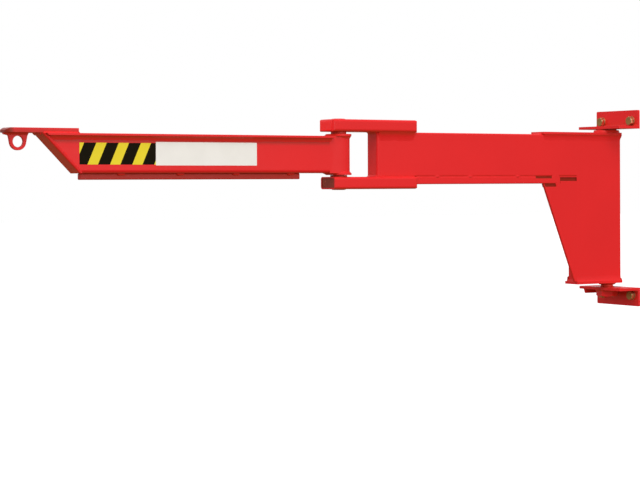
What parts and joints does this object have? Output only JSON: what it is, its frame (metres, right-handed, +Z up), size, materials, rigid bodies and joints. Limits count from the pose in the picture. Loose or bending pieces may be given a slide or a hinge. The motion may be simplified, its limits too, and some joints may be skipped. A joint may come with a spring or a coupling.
{
  "type": "wall jib crane",
  "caption": "Articulated wall jib crane: wall brackets, pivoting mast with box beam and fork, and a box-section outer arm with a cover strip, slanting end plate and lifting eye",
  "frame": {"origin": "on the wall face of the lower bracket, in the middle of its leg, midway between its two bolts", "axes": "+X into the wall, both arms reach along -X when straight, +Z up, Y along the wall"},
  "size_m": [1.97, 0.184, 0.579],
  "materials": {
    "red_paint": "semi-gloss red powder coat",
    "pin_steel": "turned bright steel",
    "bush_bronze": "sintered bronze"
  },
  "bodies": {
    "wall_mount": {"upper_bracket_angle": "red_paint", "lower_bracket_angle": "red_paint", "lower_bracket_rib": "red_paint", "lower_pin_nut": "red_paint", "upper_slew_pin": "pin_steel", "upper_thrust_washer": "red_paint", "lower_slew_pin": "pin_steel", "lower_thrust_collar": "red_paint"},
    "inner_arm": {"mast_post": "red_paint", "mast_side_gusset": "red_paint", "mast_inner_gusset": "red_paint", "mast_top_plate": "red_paint", "mast_bottom_plate": "red_paint", "upper_bearing_housing": "red_paint", "lower_bearing_housing": "red_paint", "upper_slew_bush": "bush_bronze", "lower_slew_bush": "bush_bronze", "inner_beam": "red_paint", "inner_beam_end_cap": "red_paint", "inner_bar": "red_paint", "fork_upper_tube": "red_paint", "fork_lower_tube": "red_paint", "fork_upper_front_cap": "red_paint", "fork_upper_rear_cap": "red_paint", "fork_lower_front_cap": "red_paint", "fork_lower_rear_cap": "red_paint", "elbow_pin": "pin_steel", "elbow_upper_washer": "red_paint", "elbow_lower_washer": "red_paint"},
    "outer_arm": {"hub_tube": "red_paint", "hub_top_disc": "red_paint", "hub_bottom_disc": "red_paint", "hub_upper_bush": "bush_bronze", "hub_lower_bush": "bush_bronze", "outer_beam": "red_paint", "outer_cover_strip": "red_paint", "outer_bar": "red_paint", "tip_end_plate": "red_paint", "tip_top_bar": "red_paint", "lifting_eye": "red_paint"}
  },
  "joints": [
    {"name": "slew", "type": "hinge", "parent": "wall_mount", "child": "inner_arm", "pos_m": [-0.049, 0, 0], "axis": [0, 0, 1], "range_deg": [-90, 90]},
    {"name": "elbow", "type": "hinge", "parent": "inner_arm", "child": "outer_arm", "pos_m": [-0.9975, 0, 0.417], "axis": [0, 0, 1], "range_deg": [-145, 145]}
  ]
}
